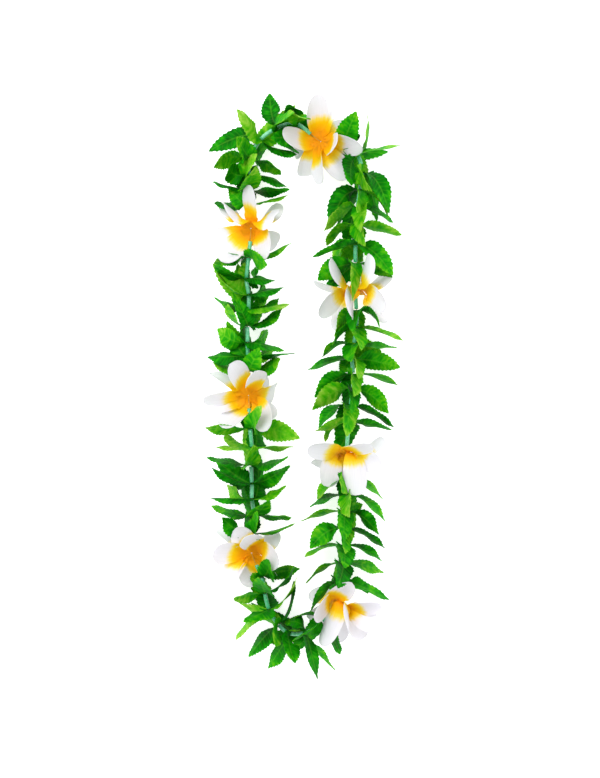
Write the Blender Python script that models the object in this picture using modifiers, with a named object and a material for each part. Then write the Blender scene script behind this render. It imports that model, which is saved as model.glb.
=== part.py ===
"""A lei of artificial plumeria and leaves, laid out flat in a long narrow loop.

A cord carries short plastic spacer tubes. Between the tubes sit die-cut leaf rosettes with four serrated
leaves each, and seven double flowers. Metres, +Z up, the floor at Z = 0, the loop's long axis along Y.
Travel along the cord is up the left strand, over the top and down the right strand, as seen from above.
"""
import math
import random

import bmesh
import bpy
from mathutils import Quaternion, Vector
from mathutils.bvhtree import BVHTree

MM = 0.001
CORD_HEIGHT = 24 * MM
CORD_RADIUS = 0.6 * MM
TUBE_RADIUS = 1.7 * MM
TUBE_SHOULDER = 0.3 * MM
GAP_AT_ROSETTE = 1.0 * MM
GAP_AT_FLOWER = 6.5 * MM
KNOT_RADIUS = 1.3 * MM
KNOT_LENGTH = 2.4 * MM
KNOT_FROM_FLOWER = 4.0 * MM
MOST_BEND = math.radians(9)
DIRECTION_REACH = 2 * MM

FABRIC_THICKNESS = 0.6 * MM
LEAF_LENGTH = 48 * MM
LEAF_WIDTH = 19 * MM
PETAL_LENGTH = 40 * MM
PETAL_WIDTH = 19 * MM
ROSETTE_HUB_HALF = 2.5 * MM
ROSETTE_HOLE_HALF = 1.0 * MM
FLOWER_HUB_RADIUS = 5.0 * MM
FLOWER_HOLE_RADIUS = 3.0 * MM
WELD_DISTANCE = 0.02 * MM

# Moves the finished lei so that the middle of its outline is over the origin.
SHIFT = Vector((-1.9 * MM, 0.2 * MM, 0))

# How a blade is fitted in among its neighbours: how many changes are tried, and what counts as clear.
SEED = 35
SWEEP = 240
TRIES = 4 * SWEEP
ROOM_BETWEEN = 0.7 * MM
FLOOR_TOLERANCE = 0.05 * MM
ROOT_SHARE = 0.08
LEAST_STEP = 0.6 * MM
LEAST_AGREEMENT = 0.25
ROSETTE_SPINS = (0, 15, -15, 30, -30, 45, 8, -8, 22, -22, 37, -37)
FLOWER_SPINS = (0, 6, -6, 12, -12, 3, -3, 9, -9)
SPIN_ROUNDS = 4

# Leaves: how high the tips go, as shares of what their length leaves over, and the most that a try changes.
UPPER_LIFT = 0.75
UNDER_DROP = 13 * MM
SIDE_LIFT = (-0.35, 0.45)
LEAF_FLOOR = 0.8 * MM
LOWER_SWAY = 8
LOWER_SHOWN = (9, 15)
LEAF_SLACK = 1 * MM
LEAF_SWING = 1.1
LEAF_RISE = 38
LEAF_SLIDE = 30
LEAF_SHORTENING = 0.3
LEAF_ROLL = 0.8
LEAF_BOW = 0.3
LEAF_BOW_CHANGE = 0.2
FREE_SPREAD = 1.2
FREE_SHORTENING = 0.8

# Petals, in the same way.
PETAL_LIFT = 0.85
PETAL_LIFT_BASE = 4 * MM
PETAL_DROP = 0.5
PETAL_DROP_BASE = 3 * MM
PETAL_LOWEST = 6 * MM
PETAL_FLOOR = 4 * MM
PETAL_SWING = 0.4
PETAL_RISE = 18
PETAL_SHORTENING = 0.2
PETAL_ROLL = 0.3
PETAL_BOW = 0.22
PETAL_BOW_CHANGE = 0.1

LEAF_GREEN = (0.05, 0.33, 0.03, 1.0)
PETAL_WHITE = (0.86, 0.84, 0.80, 1.0)
TUBE_MINT = (0.10, 0.60, 0.28, 1.0)

# The cord's route in millimetres, as seen from above, from the bottom of the loop up its left strand.
ROUTE = [
    (-7, -225), (-19, -218), (-28, -206), (-33, -190), (-37, -171), (-45, -153), (-45, -132), (-43, -118),
    (-45, -104), (-45, -90), (-46, -76), (-45, -62), (-46, -45), (-48, -27), (-48, -8), (-48, 10), (-49, 36),
    (-49, 53), (-48, 66), (-48, 81), (-50, 94), (-48, 115), (-46, 139), (-49, 159), (-50, 172), (-48, 185),
    (-48, 198), (-44, 211), (-36, 222), (-25, 230), (-12, 234), (3, 233), (17, 219), (31, 215), (44, 212),
    (52, 203), (54, 192), (52, 175), (50, 160), (49, 144), (48, 125), (48, 104), (48, 82), (49, 66),
    (49, 52), (47, 38), (45, 25), (46, 11), (46, -2), (44, -16), (42, -32), (41, -48), (40, -64), (39, -80),
    (40, -99), (40, -115), (38, -129), (38, -144), (37, -159), (37, -176), (36, -194), (29, -204),
    (19, -213), (6, -222),
]
ROUTE_STEPS = 12

# Shape of a leaf and of a petal: share of the length, then the half widths left and right of the rib,
# as shares of the full width.
LEAF_ROOT = ROSETTE_HUB_HALF / LEAF_WIDTH
PETAL_ROOT = FLOWER_HUB_RADIUS * math.tan(math.pi / 10) / PETAL_WIDTH
LEAF_OUTLINE = [
    (0.00, LEAF_ROOT, LEAF_ROOT), (0.30, 0.44, 0.31), (0.44, 0.37, 0.51), (0.58, 0.49, 0.37),
    (0.72, 0.32, 0.43), (0.86, 0.27, 0.17), (1.00, 0.00, 0.00),
]
PETAL_OUTLINE = [
    (0.00, PETAL_ROOT, PETAL_ROOT), (0.20, 0.13, 0.13), (0.44, 0.36, 0.36), (0.68, 0.50, 0.50),
    (0.88, 0.42, 0.42), (1.00, 0.15, 0.15),
]

# Rosettes in order along the cord: where the hub is, then the tips of the left, right and third leaf,
# as seen from above and measured from the hub, each with the width of it that shows. Millimetres.
# The third leaf lies over the cord, or hangs under it where its width is less than 0.
ROSETTES = [
    ((17, -213), (-24, 6, 4), (14, -29, 7), (-1, -22, 14)),
    ((4, -223), (-17, 12, 6), (26, -33, 6), (5, -38, 6)),
    ((-11, -224), (-8, 33, 4), (-19, -32, 11), (5, -23, 12)),
    ((-21, -215), (-26, -29, 11), (14, 38, 4), (-2, -16, 8)),
    ((-29, -202), (-29, -26, 7), (25, 29, 3), (-22, -8, 9)),
    ((-34, -187), (-27, -5, 10), (26, 24, 5), (-5, 16, 12)),
    ((-37, -172), (-24, -10, 8), (32, 22, 8), (7, 17, 10)),
    ((-44, -134), (-27, 8, 12), (38, 9, 4), (7, 16, 8)),
    ((-43, -118), (-38, 9, 9), (33, -1, 5), (14, 16, 12)),
    ((-45, -103), (-38, 1, 3), (30, 12, 6), (-22, 12, -10)),
    ((-45, -89), (-36, 14, 6), (34, 16, 11), (26, 6, -10)),
    ((-47, -73), (-39, 7, 6), (33, 8, 4), (3, 19, 9)),
    ((-45, -57), (-34, 1, 3), (37, 1, 4), (-24, 12, -10)),
    ((-46, -39), (-39, 4, 10), (44, -9, 18), (11, 20, 9)),
    ((-48, 12), (-31, 8, 8), (28, 11, 10), (8, 14, 9)),
    ((-49, 26), (-36, -6, 12), (42, -1, 3), (24, 8, -9)),
    ((-50, 37), (-24, 17, 16), (31, -16, 4), (26, 4, -8)),
    ((-49, 53), (-39, 13, 6), (31, 16, 8), (-26, 4, -9)),
    ((-49, 67), (-32, 8, 5), (36, 5, 6), (24, 14, -9)),
    ((-48, 81), (-38, 7, 4), (31, 7, 6), (14, 12, -9)),
    ((-50, 95), (-40, -2, 9), (26, 4, 6), (8, 16, -12)),
    ((-46, 114), (-30, -5, 4), (38, 12, 4), (22, 8, 12)),
    ((-49, 161), (-29, 2, 8), (37, 10, 4), (-12, 14, 9)),
    ((-50, 175), (-33, -5, 8), (39, -4, 7), (9, 18, 12)),
    ((-48, 188), (-28, -5, 7), (34, -10, 6), (8, 16, 10)),
    ((-47, 203), (-40, -7, 4), (27, -14, 9), (-12, 14, 12)),
    ((-39, 221), (-46, -10, 18), (32, -13, 9), (-20, 24, 13)),
    ((-23, 232), (0, 33, 14), (14, -30, 8), (16, 10, 9)),
    ((-4, 233), (2, 31, 5), (-6, -31, 8), (16, 8, 10)),
    ((37, 218), (12, 20, 14), (-6, -32, 8), (32, 14, 12)),
    ((50, 207), (8, 36, 4), (-26, -22, 9), (34, 24, 5)),
    ((53, 191), (24, -36, 15), (-28, -18, 9), (-4, -28, 9)),
    ((51, 175), (41, -7, 4), (-26, -33, 18), (-3, -22, 8)),
    ((50, 160), (33, -11, 7), (-40, -6, 4), (2, -24, 9)),
    ((49, 144), (40, -9, 8), (-26, -18, 10), (7, -20, 9)),
    ((49, 127), (33, -28, 17), (-38, -12, 6), (-20, -16, -9)),
    ((49, 109), (24, -28, 10), (-33, -15, 18), (-6, -34, 8)),
    ((49, 67), (31, -15, 11), (-34, -22, 8), (-4, -20, 9)),
    ((49, 52), (41, -12, 5), (-30, -10, 5), (0, -18, 11)),
    ((47, 37), (38, -3, 5), (-29, -9, 7), (-3, -16, 13)),
    ((44, 24), (43, -8, 17), (-39, -10, 6), (5, -18, 9)),
    ((46, 10), (40, -10, 5), (-34, -21, 15), (0, -20, 9)),
    ((46, -3), (31, -22, 14), (-36, -19, 15), (-2, -22, 9)),
    ((44, -18), (38, -19, 6), (-28, -20, 10), (-4, -27, 13)),
    ((42, -34), (38, -7, 6), (-30, -8, 7), (-22, -14, -9)),
    ((40, -84), (33, -18, 5), (-25, -18, 7), (2, -18, 9)),
    ((40, -99), (34, -23, 7), (-34, -8, 4), (2, -18, 10)),
    ((40, -114), (28, -20, 10), (-41, -9, 5), (-3, -25, 12)),
    ((39, -129), (36, -18, 7), (-30, -18, 17), (2, -20, 9)),
    ((38, -144), (33, -14, 6), (-35, -10, 4), (0, -18, 14)),
    ((37, -160), (36, -9, 8), (-33, -18, 5), (-5, -20, 15)),
    ((36, -176), (41, -17, 7), (-30, -28, 7), (24, -14, -9)),
]

# Flowers: centre, how far the face turns up from the cord in degrees (less than 0 for a face that looks back
# along the cord), then each petal's tip as seen from above and measured from the centre, its side (1 above
# the cord, -1 below) and the width of it that shows.
FLOWERS = [
    ((17, 219), -58, [
        (-31, 4, 1, 16), (-25, -12, -1, 12), (-12, 34, 1, 17), (14, 37, 1, 12), (12, -4, 1, 9),
        (35, -9, 1, 12), (24, -32, 1, 19), (-2, -37, 1, 10), (30, 14, -1, 17), (-14, -30, -1, 17)]),
    ((-45, 140), -58, [
        (-2, 35, 1, 11), (23, 8, 1, 16), (12, -26, 1, 14), (-24, -28, 1, 19), (-26, 18, 1, 9),
        (-31, -6, -1, 14), (24, 20, -1, 14), (-24, 22, -1, 12), (-17, -26, -1, 17), (25, -12, -1, 16)]),
    ((-49, -10), -58, [
        (-12, 26, 1, 17), (8, 19, 1, 12), (-38, -4, 1, 10), (-21, -29, 1, 13), (14, -27, 1, 16),
        (-32, 22, -1, 10), (-31, -17, -1, 15), (26, 4, -1, 14), (24, -14, -1, 14), (19, 24, -1, 12)]),
    ((-45, -152), -58, [
        (-32, 1, 1, 17), (-3, 12, 1, 13), (21, -7, 1, 14), (-4, -25, 1, 13), (-22, -25, 1, 15),
        (-28, 24, -1, 14), (-31, -12, -1, 14), (20, 16, -1, 13), (17, -24, -1, 14), (-10, 27, 1, 12)]),
    ((49, 86), 12, [
        (-24, 25, 1, 9), (-37, 6, -1, 5), (-31, -23, 1, 13), (-18, -35, -1, 9), (15, 29, 1, 9),
        (30, 13, -1, 10), (25, -17, 1, 13), (25, -30, -1, 9), (-7, -25, 1, 8), (7, 25, -1, 8)]),
    ((41, -62), 12, [
        (-33, 3, 1, 14), (-20, -30, 1, 15), (-10, -27, -1, 9), (8, -36, 1, 19), (25, -24, 1, 15),
        (19, 5, 1, 10), (34, 9, -1, 5), (-28, -15, -1, 14), (30, -8, -1, 14), (0, -32, -1, 14)]),
    ((36, -197), 12, [
        (-16, -36, 1, 15), (0, -36, -1, 16), (3, -22, 1, 6), (29, -21, 1, 18), (19, -33, -1, 17),
        (33, -3, 1, 12), (-28, -16, -1, 14), (-22, -10, 1, 10), (-25, 8, -1, 12), (12, 14, 1, 10)]),
]


def clear_scene():
    for thing in list(bpy.data.objects):
        bpy.data.objects.remove(thing, do_unlink=True)


def make_collection(name):
    collection = bpy.data.collections.new(name)
    bpy.context.scene.collection.children.link(collection)
    return collection


def make_material(name, colour, roughness):
    material = bpy.data.materials.new(name)
    material.use_nodes = True
    shader = material.node_tree.nodes["Principled BSDF"]
    shader.inputs["Base Color"].default_value = colour
    shader.inputs["Roughness"].default_value = roughness
    shader.inputs["Metallic"].default_value = 0.0
    return material


def smooth_route():
    """The closed route as many points, on a smooth curve through the chosen ones."""
    knots = [Vector((x * MM, y * MM, CORD_HEIGHT)) for x, y in ROUTE]
    count = len(knots)
    points = []
    for i in range(count):
        before, start, end, after = (knots[(i + k) % count] for k in (-1, 0, 1, 2))
        for step in range(ROUTE_STEPS):
            s = step / ROUTE_STEPS
            points.append(0.5 * (2 * start + (end - before) * s
                                 + (2 * before - 5 * start + 4 * end - after) * s * s
                                 + (3 * start - before - 3 * end + after) * s * s * s))
    return points


class Route:
    """The cord's closed line, measured along its length."""

    def __init__(self):
        self.points = smooth_route()
        self.marks = [0.0]
        for i, point in enumerate(self.points):
            following = self.points[(i + 1) % len(self.points)]
            self.marks.append(self.marks[-1] + (following - point).length)
        self.length = self.marks[-1]

    def at(self, station):
        station %= self.length
        i = max(k for k, mark in enumerate(self.marks[:-1]) if mark <= station)
        start = self.points[i]
        end = self.points[(i + 1) % len(self.points)]
        return start.lerp(end, (station - self.marks[i]) / (self.marks[i + 1] - self.marks[i]))

    def direction(self, station):
        return (self.at(station + DIRECTION_REACH) - self.at(station - DIRECTION_REACH)).normalized()

    def nearest(self, x, y):
        place = Vector((x * MM, y * MM, CORD_HEIGHT))
        nearest = min(range(len(self.points)), key=lambda k: (self.points[k] - place).length)
        return self.marks[nearest]


class Blade:
    """A leaf or a petal: a strip along an arch from its root on a hub to its tip."""

    def __init__(self, root, out, root_across, tip, tip_across, bow, width, outline, breadth):
        self.root = root
        self.crest = root + out * bow
        self.tip = tip
        self.root_across = root_across
        self.tip_across = tip_across
        self.width = width
        self.outline = outline
        self.breadth = breadth

    def row(self, share, left, right):
        """Left and right edge point at a share of the length, and the blade's normal there."""
        first = self.root.lerp(self.crest, share)
        second = self.crest.lerp(self.tip, share)
        along = (second - first).normalized()
        turn = min(1.0, share / 0.5)
        turn = turn * turn * (3 - 2 * turn)
        across = self.root_across.lerp(self.tip_across, turn)
        across = (across - along * across.dot(along)).normalized()
        middle = first.lerp(second, share)
        breadth = self.width * (self.breadth if share > 0 else 1.0)
        half_left = across * left * breadth
        half_right = across * right * breadth
        return middle - half_left, middle + half_right, across.cross(along)

    def rows(self):
        return [self.row(*line) for line in self.outline]

    def hull(self, thickness, from_share=0.0):
        """A thin closed strip of triangles, used to test the blade for room."""
        rows = self.rows()
        if from_share > 0:
            first, second = self.outline[:2]
            part = from_share / second[0]
            left = first[1] + (second[1] - first[1]) * part
            right = first[2] + (second[2] - first[2]) * part
            rows[0] = self.row(from_share, left, right)
        sections = []
        for left, right, normal in rows:
            lift = normal * thickness / 2
            sections.append((left + lift, right + lift, right - lift, left - lift))
        return prism(sections)

    def sound(self):
        """False where the blade folds onto itself."""
        rows = self.rows()
        for (left, right, normal), (next_left, next_right, next_normal) in zip(rows, rows[1:]):
            forward = (next_left + next_right - left - right).normalized()
            if min((next_left - left).dot(forward), (next_right - right).dot(forward)) < LEAST_STEP:
                return False
            if normal.dot(next_normal) < LEAST_AGREEMENT:
                return False
        return True


class Room:
    """Keeps what has been laid, and says whether a new blade clears it."""

    def __init__(self):
        self.laid = []

    def add(self, owner, solid, own_solid=None):
        own_tree = BVHTree.FromPolygons(*own_solid) if own_solid else None
        self.laid.append((owner, box_of(solid[0]), BVHTree.FromPolygons(*solid), own_tree))

    def clashes(self, owner, blade):
        whole = blade.hull(FABRIC_THICKNESS + ROOM_BETWEEN)
        tree = BVHTree.FromPolygons(*whole)
        own_tree = BVHTree.FromPolygons(*blade.hull(FABRIC_THICKNESS + ROOM_BETWEEN, ROOT_SHARE))
        box = box_of(whole[0])
        count = 0
        for other, other_box, other_tree, other_own_tree in self.laid:
            if any(box[k][0] > other_box[k][1] or box[k][1] < other_box[k][0] for k in range(3)):
                continue
            if other != owner:
                count += len(tree.overlap(other_tree))
            elif other_own_tree:
                count += len(own_tree.overlap(other_own_tree))
        return count

    def add_blade(self, owner, blade):
        thickness = FABRIC_THICKNESS + ROOM_BETWEEN
        self.add(owner, blade.hull(thickness), blade.hull(thickness, ROOT_SHARE))


def box_of(points):
    return [(min(p[k] for p in points), max(p[k] for p in points)) for k in range(3)]


def prism(sections):
    """A closed run of triangles through sections of equal count, used to test for room."""
    count = len(sections[0])
    points = [point for section in sections for point in section]
    last = count * (len(sections) - 1)
    faces = [(0, k + 1, k) for k in range(1, count - 1)]
    faces += [(last, last + k, last + k + 1) for k in range(1, count - 1)]
    for i in range(len(sections) - 1):
        a = count * i
        b = a + count
        for k in range(count):
            j = (k + 1) % count
            faces += [(a + k, a + j, b + j), (a + k, b + j, b + k)]
    return points, faces


def ring_slots(centre, normal, tips, hub_radius, spin=0.0):
    """Root places evenly round a hub, turned so that each tip gets the slot that points its way."""
    count = len(tips)
    side = normal.cross(Vector((0, 0, 1))).normalized()
    up = side.cross(normal)
    angles = [math.atan2((tip - centre).dot(up), (tip - centre).dot(side)) for tip in tips]
    order = sorted(range(count), key=lambda k: angles[k])
    step = 2 * math.pi / count
    lean_x = sum(math.cos(angles[k] - i * step) for i, k in enumerate(order))
    lean_y = sum(math.sin(angles[k] - i * step) for i, k in enumerate(order))
    start = math.atan2(lean_y, lean_x) + spin
    slots = {}
    for i, k in enumerate(order):
        angle = start + i * step
        out = side * math.cos(angle) + up * math.sin(angle)
        slots[k] = (centre + out * hub_radius, out, normal.cross(out))
    return slots


def tip_width_direction(along, shown, root_across, roll_side):
    """The direction across a blade at its tip that lets a share of its width show from above."""
    level = Vector((0, 0, 1)).cross(along)
    level = level.normalized() if level.length > 1e-6 else root_across.copy()
    steep = along.cross(level).normalized()
    roll = math.acos(max(0.0, min(1.0, shown)))
    across = level * math.cos(roll) + steep * math.sin(roll) * roll_side
    return across if across.dot(root_across) >= 0 else -across


def aim(root, out, across, tip, shown, roll_side, bow, width, outline, breadth=1.0):
    along = (tip - (root + out * bow)).normalized()
    tip_across = tip_width_direction(along, shown, across, roll_side)
    return Blade(root, out, across, tip, tip_across, bow, width, outline, breadth)


def lay(room, owner, make, rng):
    """Try the blade as wished for, then with small changes that grow, until it is clear."""
    best = None
    for attempt in range(TRIES):
        reach = (attempt % SWEEP) / SWEEP
        shift = [rng.uniform(-reach, reach) for k in range(6)]
        blade = make(attempt > 2 * SWEEP, *shift)
        lowest = min(p.z for p in blade.hull(FABRIC_THICKNESS)[0])
        if lowest < -FLOOR_TOLERANCE or not blade.sound():
            continue
        count = room.clashes(owner, blade)
        if best is None or count < best[0]:
            best = (count, blade)
        if count == 0:
            break
    room.add_blade(owner, best[1])
    return best[1], best[0]


def hub_ring(mesh, centre, slots, corner_radius, hole_radius):
    """A flat ring whose straight sides are the roots of the blades."""
    count = len(slots)
    first_out = slots[0][1]
    first_across = slots[0][2]
    half = math.pi / count
    outer = []
    inner = []
    for i in range(count):
        angle = half + i * 2 * half
        ray = first_out * math.cos(angle) + first_across * math.sin(angle)
        outer.append(mesh.verts.new(centre + ray * corner_radius))
        inner.append(mesh.verts.new(centre + ray * hole_radius))
    for i in range(count):
        j = (i + 1) % count
        mesh.faces.new((inner[i], outer[i], outer[j], inner[j]))


def sheet_of_blades(centre, slots, blades, corner_radius, hole_radius):
    """The flat cloth of a rosette or flower: the ring and the strips that grow from it."""
    mesh = bmesh.new()
    hub_ring(mesh, centre, slots, corner_radius, hole_radius)
    for blade in blades:
        rows = blade.rows()
        grid = bmesh.ops.create_grid(mesh, x_segments=1, y_segments=len(rows) - 1, size=1.0)
        corners = sorted(grid["verts"], key=lambda v: (round(v.co.y, 4), v.co.x))
        for i, (left, right, normal) in enumerate(rows):
            corners[2 * i].co = left
            corners[2 * i + 1].co = right
    bmesh.ops.remove_doubles(mesh, verts=mesh.verts, dist=WELD_DISTANCE)
    bmesh.ops.recalc_face_normals(mesh, faces=mesh.faces)
    bmesh.ops.triangulate(mesh, faces=mesh.faces, quad_method="FIXED")
    return mesh


def fabric_object(name, mesh, material, collection):
    data = bpy.data.meshes.new(name)
    mesh.to_mesh(data)
    mesh.free()
    data.materials.append(material)
    thing = bpy.data.objects.new(name, data)
    collection.objects.link(thing)
    wall = thing.modifiers.new("fabric thickness", "SOLIDIFY")
    wall.thickness = FABRIC_THICKNESS
    wall.offset = 0.0
    return thing


def least_crowded(room, spins, place):
    """Lay a node's blades at one turn of its hub after another until none touches, and keep the best."""
    mark = len(room.laid)
    best = None
    for spin in spins * SPIN_ROUNDS:
        del room.laid[mark:]
        slots, blades, clashes = place(math.radians(spin))
        if best is None or clashes < best[0]:
            best = (clashes, slots, blades, room.laid[mark:])
        if clashes == 0:
            break
    room.laid[mark:] = best[3]
    return best[1], best[2]


def rosette(index, route, room, rng, material, collection):
    (hub_x, hub_y), left, right, third = ROSETTES[index]
    station = route.nearest(hub_x, hub_y)
    centre = route.at(station)
    normal = route.direction(station)
    name = f"leaf_rosette_{index + 1:02d}"
    tips = []
    for x, y, shown in (left, right, third):
        flat = Vector((x * MM, y * MM, 0))
        spare = math.sqrt(max(0.0, LEAF_LENGTH ** 2 - flat.length_squared))
        if len(tips) < 2:
            lift = rng.uniform(*SIDE_LIFT) * spare
        elif shown > 0:
            lift = UPPER_LIFT * spare
        else:
            lift = -UNDER_DROP
        tips.append(centre + flat + Vector((0, 0, lift)))
    side = normal.cross(Vector((0, 0, 1)))
    drop = CORD_HEIGHT - LEAF_FLOOR
    forward = math.sqrt(LEAF_LENGTH ** 2 - drop ** 2)
    sway = rng.uniform(-LOWER_SWAY, LOWER_SWAY)
    tips.append(centre + normal * forward + side * sway * MM - Vector((0, 0, drop)))
    widths = [left[2] * MM, right[2] * MM, abs(third[2]) * MM, rng.uniform(*LOWER_SHOWN) * MM]

    def place(spin):
        slots = ring_slots(centre, normal, tips, ROSETTE_HUB_HALF, spin)
        blades, clashes = lay_leaves(name, centre, normal, slots, tips, widths, room, rng)
        return slots, blades, clashes

    slots, blades = least_crowded(room, ROSETTE_SPINS, place)
    corner = ROSETTE_HUB_HALF * math.sqrt(2)
    mesh = sheet_of_blades(centre, slots, blades, corner, ROSETTE_HOLE_HALF * math.sqrt(2))
    return fabric_object(name, mesh, material, collection)


def lay_leaves(name, centre, normal, slots, tips, widths, room, rng):
    blades = []
    clashes = 0
    for k, tip in enumerate(tips):
        roll_side = rng.choice((-1, 1))

        def make(free, swing, rise, roll, slide, curl, droop, k=k, tip=tip, roll_side=roll_side):
            root, out, across = slots[k]
            arm = tip - centre
            arm.rotate(Quaternion((0, 0, 1), swing * LEAF_SWING))
            arm.z += rise * LEAF_RISE * MM
            arm += normal * slide * LEAF_SLIDE * MM
            if free:
                arm = out + FREE_SPREAD * Vector((swing, rise, slide))
            size = 1 - (FREE_SHORTENING if free else LEAF_SHORTENING) * abs(curl)
            arm = arm.normalized() * min(LEAF_LENGTH, (tip - centre).length + LEAF_SLACK) * size
            arm.z = max(arm.z, LEAF_FLOOR - CORD_HEIGHT)
            shown = min(1.0, max(0.0, widths[k] / LEAF_WIDTH + roll * LEAF_ROLL))
            bow = (LEAF_BOW + LEAF_BOW_CHANGE * droop) * LEAF_LENGTH * size
            return aim(root, out, across, centre + arm, shown, roll_side, bow, LEAF_WIDTH, LEAF_OUTLINE,
                       0.5 + 0.5 * size)

        blade, count = lay(room, name, make, rng)
        blades.append(blade)
        clashes += count
    return blades, clashes


def flower_normal(along, turn_up):
    """Which way a flower faces: along the cord, or back along it if negative, turned up from it."""
    turn = math.radians(abs(turn_up))
    return along * math.copysign(math.cos(turn), turn_up) + Vector((0, 0, math.sin(turn)))


def flower(index, route, room, rng, material, collection):
    (x, y), turn_up, petals = FLOWERS[index]
    station = route.nearest(x, y)
    centre = route.at(station)
    along = route.direction(station)
    normal = flower_normal(along, turn_up)
    name = f"flower_{index + 1}"
    tips = []
    for tip_x, tip_y, above, shown in petals:
        flat = Vector((tip_x * MM, tip_y * MM, 0))
        spare = math.sqrt(max(0.0, PETAL_LENGTH ** 2 - flat.length_squared))
        rise = PETAL_LIFT * spare + PETAL_LIFT_BASE
        if above < 0:
            rise = -min(PETAL_DROP * spare + PETAL_DROP_BASE, CORD_HEIGHT - PETAL_LOWEST)
        tips.append(centre + flat + Vector((0, 0, rise)))
    widths = [shown * MM for tip_x, tip_y, above, shown in petals]

    def place(spin):
        slots = ring_slots(centre, normal, tips, FLOWER_HUB_RADIUS, spin)
        blades, clashes = lay_petals(name, centre, slots, tips, widths, room, rng)
        return slots, blades, clashes

    slots, blades = least_crowded(room, FLOWER_SPINS, place)
    corner = FLOWER_HUB_RADIUS / math.cos(math.pi / len(petals))
    mesh = sheet_of_blades(centre, slots, blades, corner, FLOWER_HOLE_RADIUS)
    return fabric_object(name, mesh, material, collection)


def lay_petals(name, centre, slots, tips, widths, room, rng):
    blades = []
    clashes = 0
    for k, tip in enumerate(tips):
        roll_side = rng.choice((-1, 1))

        def make(free, swing, rise, roll, slide, curl, droop, k=k, tip=tip, roll_side=roll_side):
            root, out, across = slots[k]
            arm = (tip - centre) * (1 - PETAL_SHORTENING * abs(curl))
            arm.rotate(Quaternion((0, 0, 1), swing * PETAL_SWING))
            arm.z += rise * PETAL_RISE * MM
            arm.z = max(arm.z, PETAL_FLOOR - CORD_HEIGHT)
            shown = min(1.0, max(0.0, widths[k] / PETAL_WIDTH + roll * PETAL_ROLL))
            bow = (PETAL_BOW + PETAL_BOW_CHANGE * slide) * PETAL_LENGTH
            return aim(root, out, across, centre + arm, shown, roll_side, bow, PETAL_WIDTH, PETAL_OUTLINE)

        blade, count = lay(room, name, make, rng)
        blades.append(blade)
        clashes += count
    return blades, clashes


def string_line(route):
    """Stations along the cord and the radius at each, stepping up at each spacer tube."""
    stops = [(route.nearest(*row[0]), GAP_AT_ROSETTE) for row in ROSETTES]
    stops += [(route.nearest(*row[0]), GAP_AT_FLOWER) for row in FLOWERS]
    stops.sort()
    line = []
    for i, (station, gap) in enumerate(stops):
        following, next_gap = stops[(i + 1) % len(stops)]
        if following <= station:
            following += route.length
        start = station + gap
        end = following - next_gap
        line.append((station, CORD_RADIUS))
        line.append((start, CORD_RADIUS))
        line.append((start + TUBE_SHOULDER, TUBE_RADIUS))
        if route.direction(start).angle(route.direction(end)) > MOST_BEND:
            line.append(((start + end) / 2, TUBE_RADIUS))
        line.append((end - TUBE_SHOULDER, TUBE_RADIUS))
        line.append((end, CORD_RADIUS))
    knot = route.nearest(*FLOWERS[-1][0]) + KNOT_FROM_FLOWER
    line.append((knot - KNOT_LENGTH / 2, CORD_RADIUS))
    line.append((knot, KNOT_RADIUS))
    line.append((knot + KNOT_LENGTH / 2, CORD_RADIUS))
    return sorted(line)


def spacer_string(route, material, collection):
    """The cord with its spacer tubes as one closed line."""
    line = string_line(route)
    curve = bpy.data.curves.new("spacer_string", "CURVE")
    curve.dimensions = "3D"
    curve.bevel_depth = TUBE_RADIUS
    curve.bevel_resolution = 1
    spline = curve.splines.new("POLY")
    spline.use_cyclic_u = True
    spline.points.add(len(line) - 1)
    for point, (station, radius) in zip(spline.points, line):
        point.co = (*route.at(station), 1.0)
        point.radius = radius / TUBE_RADIUS
    curve.materials.append(material)
    thing = bpy.data.objects.new("spacer_string", curve)
    collection.objects.link(thing)
    return thing


def square_round(centre, along, reach):
    side = along.cross(Vector((0, 0, 1))).normalized()
    up = side.cross(along)
    return [centre + (side * a + up * b) * reach for a, b in ((-1, -1), (1, -1), (1, 1), (-1, 1))]


def reserve_room(route, room):
    """Room for the cord, its spacer tubes and every hub, taken before the first blade is laid."""
    line = string_line(route)
    for (start, radius), (end, next_radius) in zip(line, line[1:] + line[:1]):
        ends = [(route.at(start), max(radius, next_radius)), (route.at(end), max(radius, next_radius))]
        along = (ends[1][0] - ends[0][0]).normalized()
        room.add("spacer_string", prism([square_round(place, along, reach) for place, reach in ends]))
    for index, row in enumerate(ROSETTES):
        station = route.nearest(*row[0])
        along = route.direction(station)
        lift = along * (FABRIC_THICKNESS / 2 + ROOM_BETWEEN / 2)
        reach = ROSETTE_HUB_HALF + ROOM_BETWEEN
        ends = [square_round(route.at(station) + lift * k, along, reach) for k in (-1, 1)]
        room.add(f"leaf_rosette_{index + 1:02d}", prism(ends))
    for index, (place, turn_up, petals) in enumerate(FLOWERS):
        station = route.nearest(*place)
        normal = flower_normal(route.direction(station), turn_up)
        lift = normal * (FABRIC_THICKNESS / 2 + ROOM_BETWEEN / 2)
        reach = FLOWER_HUB_RADIUS + ROOM_BETWEEN
        ends = [square_round(route.at(station) + lift * k, normal, reach) for k in (-1, 1)]
        room.add(f"flower_{index + 1}", prism(ends))


def build():
    clear_scene()
    parts = make_collection("lei")
    leaf = make_material("leaf_fabric", LEAF_GREEN, 0.55)
    petal = make_material("petal_fabric", PETAL_WHITE, 0.6)
    plastic = make_material("spacer_plastic", TUBE_MINT, 0.25)
    route = Route()
    room = Room()
    rng = random.Random(SEED)
    spacer_string(route, plastic, parts)
    reserve_room(route, room)
    for index in range(len(FLOWERS)):
        flower(index, route, room, rng, petal, parts)
    for index in range(len(ROSETTES)):
        rosette(index, route, room, rng, leaf, parts)
    for thing in parts.objects:
        thing.location = SHIFT


build()
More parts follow.
